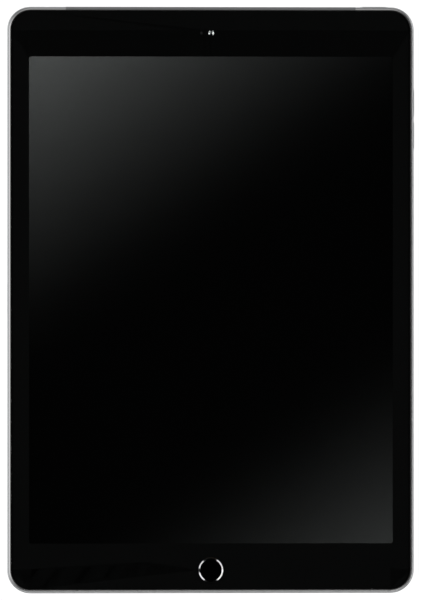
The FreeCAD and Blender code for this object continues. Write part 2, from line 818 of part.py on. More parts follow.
def display_sheet(name, margin, thickness, bottom):
    """One sheet of the display, smaller than the module by a margin on every side."""
    sizes = [f"{size} - 2 * ({margin})" for size in ("display_width", "display_length")]
    loop = (rounded_loop, *sizes, "screen_radius")
    return node(name, padded(name, [loop], thickness, ("0", "display_shift", bottom)))


def tray_ears():
    """The loops of the four screwed ears that stick out of the tray's ends."""
    loops = []
    for side in (-1, 1):
        for end in (-1, 1):
            x = f"{side} * post_spacing / 2"
            y = f"{end} * (post_reach + ear_radius - ear_length / 2)"
            loops.append((rounded_loop, "2 * ear_radius", "ear_length", "ear_corner", x, y))
            loops.append((circle_loop, x, f"{end} * post_reach", "through_radius"))
    return loops


def display_module():
    """The sheet-metal tray with its ears, and the sheets stacked in it."""
    wide, long = "display_width", "display_length"
    rim = (rounded_loop, wide, long, "screen_radius")
    inner = (rounded_loop, f"{wide} - 2 * tray_wall", f"{long} - 2 * tray_wall", "screen_radius - tray_wall")
    tray = new_body("lcd_tray", ("0", "display_shift", "tray_bottom"))
    pad_layer(tray, [rim], "tray_sheet")
    pad_layer(tray, [rim, inner], "tray_top - tray_bottom - tray_sheet", offset="tray_sheet")
    pad_layer(tray, tray_ears(), "tray_sheet")
    node("lcd_tray", tray)
    bottom = "tray_bottom + tray_sheet"
    for name, thickness in (("light_guide", "guide_thickness"), ("diffuser_films", "diffuser_thickness"),
                            ("lcd_panel", "panel_thickness")):
        display_sheet(name, "tray_wall + tray_play", thickness, bottom)
        bottom = f"{bottom} + {thickness}"
    loop = (rounded_loop, "screen_width + 2 * polarizer_margin", "screen_length + 2 * polarizer_margin",
            "screen_radius", "screen_shift", "0")
    node("display_polarizer", padded("display_polarizer", [loop], "polarizer_thickness", ("0", "0", bottom)))


def screws(name, places, seat):
    """Machine screws whose heads sit at a height, all in one node."""
    length = f"min(screw_length; ({seat}) - floor_thickness - screw_clearance)"
    items = []
    for x, y in places:
        head = cylinder("screw_head", "screw_head_radius", "screw_head", (x, y, seat))
        shank = cylinder("screw_shank", "screw_radius", length, (x, y, f"({seat}) - {length}"))
        items.append(fuse("screw", [head, shank]))
    return node(name, group(name, items))


def profile_strip(name, plane, points, thickness, place):
    """A bent strip or a moulding: a polygon on an upright plane, padded along that plane's axis."""
    return padded(name, [(polygon_loop, *points)], thickness, place, plane)


def display_flexes():
    """The flat cables from the display and from the touch layer down to the logic board."""
    thin = "flex_thickness"
    low = f"{BOARD_TOP} + plug_height"
    high = "tray_bottom - flex_play - flex_thickness"
    bend = f"{BOARD_EDGES[0]} - flex_bend"
    landing = f"{BOARD_EDGES[0]} + flex_landing"
    points = (("display_flex_start", high), (bend, high), (bend, low), (landing, low),
              (landing, f"{low} + {thin}"), (f"{bend} + {thin}", f"{low} + {thin}"),
              (f"{bend} + {thin}", f"{high} + {thin}"), ("display_flex_start", f"{high} + {thin}"))
    place = ("0", "display_flex_place - display_flex_width / 2", "0")
    node("display_flex", profile_strip("display_flex", "XZ_Plane", points, "display_flex_width", place))
    drop = "display_width / 2 + touch_flex_gap"
    landing = f"{BOARD_EDGES[1]} - flex_landing"
    points = ((landing, low), (drop, low), (drop, MASK_BOTTOM), (f"{drop} - {thin}", MASK_BOTTOM),
              (f"{drop} - {thin}", f"{low} + {thin}"), (landing, f"{low} + {thin}"))
    place = ("0", "touch_flex_place - touch_flex_width / 2", "0")
    node("digitizer_flex", profile_strip("digitizer_flex", "XZ_Plane", points, "touch_flex_width", place))


# ---- battery and boards --------------------------------------------------------------------------

def battery():
    """Two pouch cells side by side on adhesive strips, and their protection board."""
    cell_bottom = "floor_thickness + adhesive_thickness"
    loop = (rounded_loop, "cell_width", "cell_length", "cell_radius")
    strip = ("adhesive_width", "adhesive_length", "adhesive_thickness")
    strips = []
    for sign, side in ((-1, "left"), (1, "right")):
        x = f"battery_shift + {sign} * (cell_width + cell_gap) / 2"
        name = f"battery_cell_{side}"
        cell = padded(name, [loop], "cell_height", (x, "0", cell_bottom))
        round_top(cell, "cell_radius / 2")
        node(name, cell)
        for half in (-1, 1):
            place = (f"{x} + {half} * cell_width / 4", "0", "floor_thickness")
            strips.append(block("adhesive_strip", strip, place))
    node("battery_adhesive", group("battery_adhesive", strips))
    board = ("battery_board_length", "battery_board_width", "board_thickness")
    place = ("battery_shift", "cell_length / 2 + battery_board_gap", "floor_thickness")
    node("battery_board", block("battery_board", board, place))


def shield_can(y, length):
    """A sheet-metal box over a group of chips, open below."""
    width = "board_width - 2 * can_margin"
    place = ("board_middle", y, BOARD_TOP)
    hollow = (f"{width} - 2 * can_sheet", f"{length} - 2 * can_sheet", "can_height - can_sheet")
    return cut("shield_can", block("can_outside", (width, length, "can_height"), place),
               block("can_hollow", hollow, place))


def logic_board():
    """The circuit board with its chips, shield cans, plugs and screws."""
    loop = (rounded_loop, "board_width", "board_length", "screen_radius")
    holes = [(circle_loop, f"({x}) - board_middle", f"({y}) - board_shift", "through_radius")
             for x, y in boss_places()]
    node("logic_board", padded("logic_board", [loop, *holes], "board_thickness",
                               ("board_middle", "board_shift", "board_bottom")))
    chips = [block("chip", size, (x, y, BOARD_TOP)) for x, y, *size in CHIPS]
    node("board_chips", group("board_chips", chips))
    node("shield_cans", group("shield_cans", [shield_can(y, length) for y, length in SHIELD_CANS]))
    places = [(f"{BOARD_EDGES[0]} + plug_inset", y, BOARD_TOP) for y in LEFT_PLUGS]
    places += [(f"{BOARD_EDGES[1]} - plug_inset", y, BOARD_TOP) for y in RIGHT_PLUGS]
    plugs = [block("plug", ("plug_width", "plug_length", "plug_height"), place) for place in places]
    node("board_connectors", group("board_connectors", plugs))
    screws("board_screws", boss_places(), BOARD_TOP)


# ---- sound, ports and antennas -------------------------------------------------------------------

def end_moulding(name, end, x, width, back, top):
    """A moulding that fits the curved inside of an end wall: end is -1 for the lower end, 1 for the top."""
    points = [(f"{end} * ({END} - {inset})", z) for inset, z in
              (("moulding_front", "moulding_front_bottom"), ("moulding_front", top), (back, top),
               (back, "moulding_bottom"), ("moulding_heel", "moulding_bottom"))]
    return profile_strip(name, "YZ_Plane", points, width, (f"({x}) - ({width}) / 2", "0", "0"))


def speakers():
    """A speaker box each side of the dock port, with a steel mesh behind its row of holes."""
    depth = (f"-{END} + chamber_start", f"-{END} + chamber_end")
    height = ("moulding_bottom", "tray_bottom - chamber_play")
    mesh_place = f"-{END} + mesh_inset + mesh_thickness / 2"
    for sign, side in ((-1, "left"), (1, "right")):
        x = f"{sign} * speaker_place"
        width = (f"{x} - speaker_width / 2", f"{x} + speaker_width / 2")
        front = end_moulding("speaker_front", -1, x, "speaker_width", "speaker_back", "speaker_top")
        chamber = span("speaker_chamber", width, depth, height)
        node(f"speaker_{side}", fuse(f"speaker_{side}", [front, chamber]))
        node(f"speaker_mesh_{side}", block("speaker_mesh", ("mesh_length", "mesh_thickness", "mesh_height"),
                                           (x, mesh_place, "mesh_bottom")))


def dock_port():
    """The dock connector's shell with its pill-shaped cavity, and the contacts along the cavity's floor."""
    shell = span("dock_shell", ("-dock_shell_width / 2", "dock_shell_width / 2"),
                 (f"-{END} + dock_start", f"-{END} + dock_end"),
                 ("dock_shell_bottom", "dock_shell_bottom + dock_shell_height"))
    cavity = side_pill("dock_cavity", "dock_width", "dock_height", f"dock_start - {OUTSIDE}",
                       "dock_end - dock_back", "port_middle", "0", "bottom")
    node("dock_connector", cut("dock_connector", shell, cavity))
    size = ("contact_pitch / 2", "contact_length", "contact_height")
    y = f"-{END} + (dock_start + dock_end - dock_back) / 2"
    contacts = []
    for index in range(DOCK_CONTACTS):
        x = f"({index} - {(DOCK_CONTACTS - 1) / 2}) * contact_pitch"
        contacts.append(block("dock_contact", size, (x, y, "port_middle - dock_height / 2")))
    node("dock_contacts", group("dock_contacts", contacts))


def headphone_jack():
    """The socket: a moulding inside the end wall, a round nose in the wall's hole and the blind bore."""
    points = [(f"{END} - {inset}", z) for inset, z in
              (("jack_front", "jack_front_bottom"), ("jack_front", "jack_top"), ("jack_back", "jack_top"),
               ("jack_back", "moulding_bottom"), ("moulding_heel", "moulding_bottom"))]
    moulding = profile_strip("jack_moulding", "YZ_Plane", points, "jack_width",
                             ("jack_place - jack_width / 2", "0", "0"))
    nose_place = ("jack_place", f"{END} - jack_nose_inset - jack_nose_length", "port_middle")
    bore_place = ("jack_place", f"{END} - jack_nose_inset - jack_depth", "port_middle")
    nose = cylinder("jack_nose", "jack_nose_radius", "jack_nose_length", nose_place, "Y")
    bore = cylinder("jack_bore", "jack_bore_radius", f"jack_depth + {OUTSIDE}", bore_place, "Y")
    node("headphone_jack", cut("headphone_jack", fuse("jack_blank", [moulding, nose]), bore))


def side_connector(shell):
    """Three contacts in an insulator that is flush with the left side."""
    size = ("side_port_length - 2 * snug_gap", "side_port_height - 2 * snug_gap")
    bar = side_pill("side_bar", *size, f"-{OUTSIDE}", "wall_thickness", "key_middle", "0", "left")
    rows = [f"{step} * side_contact_pitch" for step in SIDE_CONTACTS]
    drills = [cylinder("contact_drill", "side_contact_radius + snug_gap", f"wall_thickness + 2 * {OUTSIDE}",
                       (f"-{SIDE} - {OUTSIDE}", y, "key_middle"), "X") for y in rows]
    plug = common("side_plug", shell, bar)
    node("side_connector_insulator", cut("side_connector_insulator", plug, fuse("contact_drills", drills)))
    contacts = [cylinder("side_contact", "side_contact_radius", "side_contact_length",
                         (f"-{SIDE} + side_contact_recess", y, "key_middle"), "X") for y in rows]
    node("side_connector_contacts", group("side_connector_contacts", contacts))


def cover_magnets():
    """Bar magnets inside the left side, for a cover."""
    size = ("magnet_width", "magnet_length", "magnet_height")
    magnets = [block("magnet", size, (f"-{SIDE} + magnet_inset", y, "magnet_bottom")) for y in MAGNET_ROWS]
    node("cover_magnets", group("cover_magnets", magnets))


def antennas():
    """Antenna carriers under the plastic window, antennas by the lower corners, and the microphone."""
    shape = ("carrier_width", "carrier_back", "carrier_top")
    carriers = [end_moulding("carrier", 1, f"{sign} * carrier_place", *shape) for sign in (-1, 1)]
    node("cellular_antennas", group("cellular_antennas", carriers))
    size = ("wifi_width", "wifi_length", "wifi_height")
    wifi = [block("wifi_antenna", size, (f"{sign} * wifi_place", "-wifi_reach", "floor_thickness"))
            for sign in (-1, 1)]
    node("wifi_antennas", group("wifi_antennas", wifi))
    place = ("0", f"{END} - mic_inset - mic_depth / 2", "mic_middle - mic_height / 2")
    node("microphone", block("microphone", ("mic_width", "mic_depth", "mic_height"), place))


# ---- cameras -------------------------------------------------------------------------------------

def front_camera():
    """The camera's housing, the lens at the bottom of its bore and the polished flare above the lens."""
    place = ("front_camera_place", "camera_reach")
    body_top = "front_camera_bottom + front_camera_height"
    box = block("front_camera_box", ("front_camera_size", "front_camera_size", "front_camera_height"),
                (*place, "front_camera_bottom"))
    barrel_height = f"{MASK_BOTTOM} - ({body_top})"
    barrel = cylinder("front_barrel", "front_barrel_radius", barrel_height, (*place, body_top))
    bore = cylinder("front_bore", "front_lens_radius + snug_gap", OUTSIDE, (*place, "front_lens_bottom"))
    node("front_camera", cut("front_camera", fuse("front_camera_blank", [box, barrel]), bore))
    lens_height = "front_trim_bottom - front_lens_bottom"
    node("front_camera_lens", cylinder("front_camera_lens", "front_lens_radius", lens_height,
                                       (*place, "front_lens_bottom")))
    height = f"{MASK_BOTTOM} - snug_gap - front_trim_bottom"
    blank = cylinder("trim_blank", "front_trim_radius", height, (*place, "front_trim_bottom"))
    flare = put(document.addObject("Part::Cone", "trim_flare"), (*place, "front_trim_bottom"))
    bind(flare, {"Radius1": "front_trim_hole", "Radius2": "front_trim_flare", "Height": height})
    node("front_camera_trim", cut("front_camera_trim", blank, flare))


def light_sensor():
    """The ambient light sensor behind its small window in the mask."""
    size = ("light_sensor_size", "light_sensor_size", "light_sensor_height")
    place = ("light_sensor_place", "camera_reach", f"{MASK_BOTTOM} - light_sensor_height")
    node("light_sensor", block("light_sensor", size, place))


def rear_camera():
    """The rear camera: its module inside, and its lens and ring in the back's hole."""
    place = ("rear_camera_place", "rear_camera_reach")
    node("rear_camera", block("rear_camera", ("rear_camera_size", "rear_camera_size", "rear_camera_height"),
                              (*place, "floor_thickness + rear_camera_gap")))
    outside = cylinder("ring_outside", "rear_hole_radius - snug_gap", "floor_thickness",
                       (*place, "rear_recess"))
    inside = cylinder("ring_inside", "rear_lens_radius + snug_gap", f"floor_thickness + 2 * {OUTSIDE}",
                      (*place, f"-{OUTSIDE}"))
    node("rear_camera_ring", cut("rear_camera_ring", outside, inside))
    node("rear_camera_lens", cylinder("rear_camera_lens", "rear_lens_radius", "rear_lens_height",
                                      (*place, "rear_lens_bottom")))


# ---- home button ---------------------------------------------------------------------------------

def home_ring():
    """The polished ring round the button: its top slopes down to the cap."""
    body = new_body("home_button_ring", ("0", "-home_reach", "0"))
    sketch = new_sketch(body, "XZ_Plane")
    polygon_loop(sketch, ("home_ring_inner", "home_cap_bottom"), ("home_ring_radius", "home_cap_bottom"),
                 ("home_ring_radius", "home_ring_top - home_ring_edge"),
                 ("home_ring_radius - home_ring_edge", "home_ring_top"), ("home_ring_inner", "home_ring_low"))
    turn = body.newObject("PartDesign::Revolution", "home_ring_turn")
    turn.Profile = sketch
    turn.ReferenceAxis = (sketch, ["V_Axis"])
    turn.Angle = 360
    sketch.Visibility = False
    node("home_button_ring", body)


def home_cap():
    """The button's cap with its shallow dish, and the sensor below it."""
    place = ("0", "-home_reach")
    blank = cylinder("cap_blank", "home_cap_radius", "home_cap_edge - home_cap_bottom",
                     (*place, "home_cap_bottom"))
    sag = "(home_cap_edge - home_cap_middle)"
    dish_radius = f"(home_cap_radius ^ 2 + {sag} ^ 2) / (2 * {sag})"
    dish = put(document.addObject("Part::Sphere", "dish"), (*place, f"home_cap_middle + {dish_radius}"))
    bind(dish, {"Radius": dish_radius})
    node("home_button_cap", cut("home_button_cap", blank, dish))
    sensor_height = "home_cap_bottom - home_sensor_bottom"
    node("fingerprint_sensor", cylinder("fingerprint_sensor", "home_sensor_radius", sensor_height,
                                        (*place, "home_sensor_bottom")))


def bracket_points():
    """The bracket's section: its right half, from the bottom corner to the foot and back, then its mirror."""
    low, sheet_z, foot = "bracket_bottom", "bracket_sheet", "bracket_reach + bracket_foot"
    right = (("bracket_reach", low), ("bracket_reach", f"{MASK_BOTTOM} - {sheet_z}"),
             (foot, f"{MASK_BOTTOM} - {sheet_z}"), (foot, MASK_BOTTOM),
             (f"bracket_reach - {sheet_z}", MASK_BOTTOM),
             (f"bracket_reach - {sheet_z}", f"{low} + {sheet_z}"))
    return right + tuple((f"-({x})", z) for x, z in reversed(right))


def home_mounting():
    """The bracket glued under the glass, with the switch, the gasket ring and the button's flat cable."""
    place = ("0", "-home_reach")
    bracket = profile_strip("home_button_bracket", "XZ_Plane", bracket_points(), "bracket_width",
                            ("0", "-home_reach - bracket_width / 2", "0"))
    node("home_button_bracket", bracket)
    node("home_button_switch", cylinder("home_button_switch", "home_switch_radius", "home_switch_height",
                                        (*place, "bracket_bottom + bracket_sheet")))
    bottom = f"{MASK_BOTTOM} - home_gasket_thickness"
    outside = cylinder("gasket_outside", "home_gasket_radius", "home_gasket_thickness", (*place, bottom))
    inside = cylinder("gasket_inside", "home_gasket_inner", f"home_gasket_thickness + 2 * {OUTSIDE}",
                      (*place, f"{bottom} - {OUTSIDE}"))
    trim = span("gasket_trim", ("-bracket_reach", "bracket_reach"),
                (f"-{END}", f"-{END} + ledge_inset + home_gasket_play"), ("bracket_bottom", "body_height"))
    node("home_button_gasket", cut("home_button_gasket", cut("gasket_ring", outside, inside), trim))


def home_flex():
    """The button's flat cable, from under the bracket to the space over the battery."""
    low, thin = "bracket_bottom", "flex_thickness"
    run = "tray_bottom - home_flex_drop"
    steps = ("home_flex_start", "home_flex_bend", "home_flex_end")
    start, bend, end = (f"{step} - home_reach" for step in steps)
    points = ((start, f"{low} - {thin}"), (bend, f"{low} - {thin}"), (bend, run), (end, run),
              (end, f"{run} + {thin}"), (f"{bend} + {thin}", f"{run} + {thin}"), (f"{bend} + {thin}", low),
              (start, low))
    node("home_button_flex", profile_strip("home_button_flex", "YZ_Plane", points, "home_flex_width",
                                           ("-home_flex_width / 2", "0", "0")))


# ---- side buttons --------------------------------------------------------------------------------

def side_key(name, length, place, face):
    """A pill-shaped button with the flange that keeps it in its slot."""
    cap = side_pill("key_cap", length, "key_height", "-key_proud", "key_depth", "key_middle", place, face)
    reach = f"({length}) / 2 + flange_extra"
    along = (f"({place}) - {reach}", f"({place}) + {reach}")
    edge = END if face == "top" else SIDE
    across = (f"{edge} - flange_depth", f"{edge} - key_depth")
    spans = (along, across) if face == "top" else (across, along)
    return node(name, fuse(name, [cap, span("key_flange", *spans, ("flange_bottom", "flange_top"))]))


def side_keys():
    """The top button and the two volume buttons, with the switches and the flex behind them."""
    side_key("top_button", "top_key_length", "top_key_place", "top")
    side_key("volume_up_button", "volume_key_length", "volume_up_place", "right")
    side_key("volume_down_button", "volume_key_length", "volume_down_place", "right")
    near, far = "switch_inset", "(switch_inset + switch_depth)"
    back = f"({far} + switch_board)"
    heights = ("switch_bottom", "switch_top")
    node("top_button_switch", span("top_button_switch",
                                   ("top_key_place - switch_length / 2", "top_key_place + switch_length / 2"),
                                   (f"{END} - {far}", f"{END} - {near}"), heights))
    switches = [span("volume_switch", (f"{SIDE} - {far}", f"{SIDE} - {near}"),
                     (f"{y} - switch_length / 2", f"{y} + switch_length / 2"), heights)
                for y in ("volume_up_place", "volume_down_place")]
    node("volume_switches", group("volume_switches", switches))
    reach = "(switch_length / 2 + switch_board_extra)"
    heights = ("flange_bottom", "ledge_bottom")
    volume_flex = span("volume_flex", (f"{SIDE} - {back}", f"{SIDE} - {far}"),
                       (f"volume_down_place - {reach}", f"volume_up_place + {reach}"), heights)
    top_flex = span("top_flex", (f"top_key_place - {reach}", f"top_key_place + {reach}"),
                    (f"{END} - {back}", f"{END} - {far}"), heights)
    node("button_flex", group("button_flex", [volume_flex, top_flex]))


# ---- SIM tray ------------------------------------------------------------------------------------

def sim_tray(shell):
    """The door, flush with the side, with the card tray behind it and the eject hole beside the tray."""
    bar = side_pill("sim_bar", "sim_door_length", "sim_door_height", f"-{OUTSIDE}", "sim_door_depth",
                    "sim_door_middle", "sim_place", "right")
    door = common("sim_door", shell, bar)
    y = "sim_place + sim_shift"
    top = "sim_tray_bottom + sim_tray_thickness"
    plate = span("sim_plate", (f"{SIDE} - sim_tray_inset", f"{SIDE} - sim_tray_start"),
                 (f"{y} - sim_tray_width / 2", f"{y} + sim_tray_width / 2"), ("sim_tray_bottom", top))
    seat = block("card_seat", ("sim_card_length", "sim_card_width", f"sim_card_depth + {OUTSIDE}"),
                 (f"{SIDE} - sim_tray_inset + sim_card_margin + sim_card_length / 2", y,
                  f"{top} - sim_card_depth"))
    hole = cylinder("eject_hole", "plunger_radius + plunger_play", f"eject_hole_depth + {OUTSIDE}",
                    (f"{SIDE} - eject_hole_depth", "sim_place + plunger_offset", "plunger_height"), "X")
    node("sim_tray", cut("sim_tray", fuse("sim_blank", [door, plate]), fuse("sim_tools", [seat, hole])))


def sim_reader():
    """The reader's housing, with the slot that takes the tray, the plunger and the lever."""
    points = [(f"{SIDE} - {inset}", z) for inset, z in
              (("reader_front", "reader_front_bottom"), ("reader_front", "reader_top"),
               ("reader_inset", "reader_top"), ("reader_inset", "moulding_bottom"),
               ("moulding_heel", "moulding_bottom"))]
    housing = profile_strip("sim_housing", "XZ_Plane", points, "reader_width",
                            ("0", "sim_place - reader_width / 2", "0"))
    cavity = span("sim_cavity", (f"{SIDE} - sim_cavity_inset", SIDE),
                  ("sim_place - sim_cavity_low", "sim_place + sim_cavity_high"),
                  ("sim_cavity_bottom", "sim_cavity_top"))
    node("sim_reader", cut("sim_reader", housing, cavity))


def sim_ejector():
    """The plunger behind the eject hole, and the lever that it turns about a pin."""
    x, y = f"{SIDE} - lever_inset", "sim_place + lever_offset"
    node("sim_lever_pin", cylinder("sim_lever_pin", "pin_radius", "sim_cavity_top - sim_cavity_bottom",
                                   (x, y, "sim_cavity_bottom")))
    bar = span("lever_bar", (f"{x} - lever_width / 2", f"{x} + lever_width / 2"),
               (f"{y} - lever_short_reach", f"{y} + lever_reach"),
               ("lever_bottom", "lever_bottom + lever_thickness"))
    boss = cylinder("lever_boss", "lever_width / 2 + lever_boss", "lever_thickness", (x, y, "lever_bottom"))
    bore = cylinder("lever_bore", "pin_radius + pin_clearance", f"lever_thickness + 2 * {OUTSIDE}",
                    (x, y, f"lever_bottom - {OUTSIDE}"))
    node("sim_lever", cut("sim_lever", fuse("lever_blank", [bar, boss]), bore))
    start = f"{x} + lever_width / 2 + plunger_gap"
    node("sim_plunger", cylinder("sim_plunger", "plunger_radius", f"{SIDE} - plunger_start - ({start})",
                                 (start, "sim_place + plunger_offset", "plunger_height"), "X"))


# ---- the model -----------------------------------------------------------------------------------

def check_model():
    """Stop if any object failed to compute, or if a sub-part has no valid shape."""
    for item in document.Objects:
        if {"Invalid", "Error"} & set(item.State):
            raise RuntimeError(f"{item.Name} failed: {item.State}")
    for item in nodes:
        if item.Shape.isNull() or not item.Shape.isValid() or not item.Shape.Solids:
            raise RuntimeError(f"{item.Label} has no valid solid")


def write_parts():
    os.makedirs("parts", exist_ok=True)
    for item in nodes:
        item.Shape.exportStep(f"parts/{item.Label}.step")
        print(f"{item.Label}: {len(item.Shape.Solids)} solid(s), {item.Shape.Volume:.2f} mm3")


fill_sheet()
shell = swept_shell()
enclosure(shell)
glass_stack()
display_module()
screws("lcd_screws", post_places(), "tray_bottom + tray_sheet")
display_flexes()
battery()
logic_board()
speakers()
dock_port()
headphone_jack()
side_connector(shell)
cover_magnets()
antennas()
front_camera()
light_sensor()
rear_camera()
home_ring()
home_cap()
home_mounting()
home_flex()
side_keys()
sim_tray(shell)
sim_reader()
sim_ejector()
document.recompute()
check_model()
write_parts()
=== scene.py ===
import json
import math

import bpy
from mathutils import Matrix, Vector


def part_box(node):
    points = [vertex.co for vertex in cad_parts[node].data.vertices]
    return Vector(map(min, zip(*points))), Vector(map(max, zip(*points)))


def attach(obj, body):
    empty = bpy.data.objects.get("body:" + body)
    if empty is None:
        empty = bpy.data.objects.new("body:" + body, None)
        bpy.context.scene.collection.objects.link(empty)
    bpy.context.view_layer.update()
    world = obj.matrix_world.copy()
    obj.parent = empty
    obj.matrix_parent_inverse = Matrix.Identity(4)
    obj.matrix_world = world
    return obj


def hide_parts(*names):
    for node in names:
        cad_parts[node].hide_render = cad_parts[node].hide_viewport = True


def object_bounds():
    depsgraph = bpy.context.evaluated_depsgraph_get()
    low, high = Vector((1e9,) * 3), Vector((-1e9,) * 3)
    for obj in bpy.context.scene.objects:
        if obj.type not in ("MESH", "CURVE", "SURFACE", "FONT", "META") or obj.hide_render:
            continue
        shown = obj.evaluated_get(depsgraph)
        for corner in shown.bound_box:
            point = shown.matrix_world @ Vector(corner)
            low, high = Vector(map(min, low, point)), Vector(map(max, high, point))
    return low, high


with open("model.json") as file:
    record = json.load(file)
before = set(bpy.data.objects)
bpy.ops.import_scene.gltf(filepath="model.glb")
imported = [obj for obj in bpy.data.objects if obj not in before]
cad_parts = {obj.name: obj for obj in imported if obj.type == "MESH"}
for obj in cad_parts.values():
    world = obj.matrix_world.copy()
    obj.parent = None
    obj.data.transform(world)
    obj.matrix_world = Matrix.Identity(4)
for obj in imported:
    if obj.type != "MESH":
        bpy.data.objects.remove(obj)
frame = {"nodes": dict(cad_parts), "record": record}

# A tablet computer lying on its back on a pale floor, seen from straight above. Everything is in metres,
# in the CAD frame: +Z out of the screen, +Y towards the front camera, +X towards the volume buttons.

CAD_LOW, CAD_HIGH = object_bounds()
MM = 0.001
NODES = frame["nodes"]
SLOT_OF = {row["node"]: row["material_slot"] for row in frame["record"]["subparts"]}

# Camera: a long lens far away, so that the view is nearly without perspective, leaning a little left.
SENSOR_WIDTH = 36                       # in millimetres, as Blender's camera takes it
CAMERA_DISTANCE = 4.0
CAMERA_TILT = math.radians(3)
BODY_FILL = 0.9765                      # share of the picture's height that the body's length takes
SIDE_HEIGHT = 4.5 * MM                  # height of the body's widest outline

# Light levels are radiances: 1, seen directly, comes out white. The softboxes stand round the home button.
BOX_ELEVATION = math.radians(40)
BOX_DISTANCE = 1.05
BOX_HEIGHT = 0.5
SOFTBOXES = (                           # first and last azimuth in degrees, radiance
    (125, 180, 4.5),
    (180, 240, 3.5),
    (10, 50, 4.5),
    (310, 350, 3.5),
)
SCREEN_NODES = ("cover_glass", "display_polarizer", "home_button_cap")  # the softboxes don't show in these

FLOOR_GLOW = 0.92
FLOOR_RADIUS = 10.0
FLOOR_SIDES = 64
COVE_RADIUS = 3.0                       # the floor's edge curves up with this radius, in COVE_STEPS steps
COVE_STEPS = 8
WALL_HEIGHT = 4.0
FLOOR_GAP = 0.02 * MM                   # the floor lies this far under the body

# Long strip lights round the studio, which the rim mirrors. Each faces one side: axis, way along it, lower
# and upper edge as heights of a unit vector, radiance. Nothing shines from overhead.
UNDERNEATH = -1.2                       # a lower edge past straight down, so nothing fades there
STRIP_FADE = 0.15                       # height over which a strip's edge fades
STRIP_FOCUS = 4                         # power of the cosine by which a strip fades to its ends
LEAST_LEVEL = 0.0001                    # keeps a division finite straight up and down
STRIPS = (
    ("X", -1, UNDERNEATH, -0.3, 1.7),
    ("X", -1, -0.3, 0.2, 0.8),
    ("X", 1, -0.6, -0.22, 2.5),
    ("Y", 1, UNDERNEATH, -0.35, 1.2),
    ("Y", 1, -0.2, 0.2, 0.4),
    ("Y", -1, -0.55, -0.15, 1.8),
    ("Y", -1, 0.0, 0.4, 0.2),
)

# The display film mirrors a card overhead that is dark in the middle, brighter towards two opposite corners.
CARD_HEIGHT = 0.5
SHEEN_TURN = math.radians(125)          # direction of the brighter corner
SHEEN_POWER = 2.75
SHEEN_REACH = 130 * MM
SHEEN_BASE = 0.02                       # the card's radiance in its dark middle
SHEENS = (                              # way, where the glow starts, its radiance at SHEEN_REACH
    (1, 10 * MM, 2.3),
    (-1, 45 * MM, 0.9),
)

GLASS_MIRROR = 0.04                     # share that a face of clear glass mirrors, seen straight on
GLASS_STEEPNESS = 5                     # power by which that share grows towards a grazing look
BEVEL_LOW, BEVEL_HIGH = 6.74 * MM, 6.78 * MM    # the machined gloss begins between these heights
LATHE_MARKS = 9000                      # turning marks per metre, roughly
TURNED_SIDES = 72
DOME_STEPS = 10


# ---- shader building -----------------------------------------------------------------------------

class Nodes:
    """A node tree with helpers for adding, linking and calculating."""

    def __init__(self, tree):
        self.tree = tree

    def node(self, kind, **settings):
        made = self.tree.nodes.new(kind)
        for name, value in settings.items():
            setattr(made, name, value)
        return made

    def link(self, output, target):
        self.tree.links.new(output, target)

    def feed(self, target, value):
        """Link an output, or set a plain value."""
        if isinstance(value, bpy.types.NodeSocket):
            self.link(value, target)
        else:
            target.default_value = value

    def math(self, operation, *values):
        made = self.node("ShaderNodeMath", operation=operation)
        for socket, value in zip(made.inputs, values):
            self.feed(socket, value)
        return made.outputs[0]

    def range(self, source, low, high, from_low=0.0, from_high=1.0, curve="LINEAR"):
        """The source remapped to a range, clamped."""
        made = self.node("ShaderNodeMapRange", interpolation_type=curve)
        self.link(source, made.inputs["Value"])
        made.inputs["From Min"].default_value = from_low
        made.inputs["From Max"].default_value = from_high
        made.inputs["To Min"].default_value = low
        made.inputs["To Max"].default_value = high
        return made.outputs["Result"]


class Surface(Nodes):
    """A Principled material with helpers for procedural detail in object space."""

    def __init__(self, name, roughness=0.5, metallic=0.0, **sockets):
        self.material = bpy.data.materials.new(name)
        self.material.use_nodes = True
        super().__init__(self.material.node_tree)
        self.shader = self.tree.nodes["Principled BSDF"]
        self.shader.inputs["Roughness"].default_value = roughness
        self.shader.inputs["Metallic"].default_value = metallic
        for socket, value in sockets.items():
            self.shader.inputs[socket.replace("_", " ")].default_value = value
        self.place = self.node("ShaderNodeTexCoord").outputs["Object"]

    def stretched(self, scale):
        """Object coordinates multiplied by three factors."""
        made = self.node("ShaderNodeVectorMath", operation="MULTIPLY")
        self.link(self.place, made.inputs[0])
        made.inputs[1].default_value = scale
        return made.outputs[0]

    def noise(self, scale, detail=3.0, roughness=0.55, vector=None):
        made = self.node("ShaderNodeTexNoise")
        self.link(vector or self.place, made.inputs["Vector"])
        made.inputs["Scale"].default_value = scale
        made.inputs["Detail"].default_value = detail
        made.inputs["Roughness"].default_value = roughness
        return made.outputs["Fac"]

    def cells(self, scale, feature="F1", vector=None):
        made = self.node("ShaderNodeTexVoronoi", feature=feature)
        self.link(vector or self.place, made.inputs["Vector"])
        made.inputs["Scale"].default_value = scale
        return made.outputs["Distance"]

    def mix(self, factor, first, second):
        made = self.node("ShaderNodeMix", data_type="RGBA")
        self.feed(made.inputs["Factor"], factor)
        self.feed(made.inputs["A"], first)
        self.feed(made.inputs["B"], second)
        return made.outputs["Result"]

    def blend(self, factor, first, second):
        made = self.node("ShaderNodeMix", data_type="FLOAT")
        self.feed(made.inputs["Factor"], factor)
        self.feed(made.inputs["A"], first)
        self.feed(made.inputs["B"], second)
        return made.outputs["Result"]

    def bump(self, height, strength, distance):
        made = self.node("ShaderNodeBump")
        self.link(height, made.inputs["Height"])
        made.inputs["Strength"].default_value = strength
        made.inputs["Distance"].default_value = distance
        self.link(made.outputs["Normal"], self.shader.inputs["Normal"])

    def colour(self, value):
        self.feed(self.shader.inputs["Base Color"], value)

    def rough(self, value):
        self.feed(self.shader.inputs["Roughness"], value)


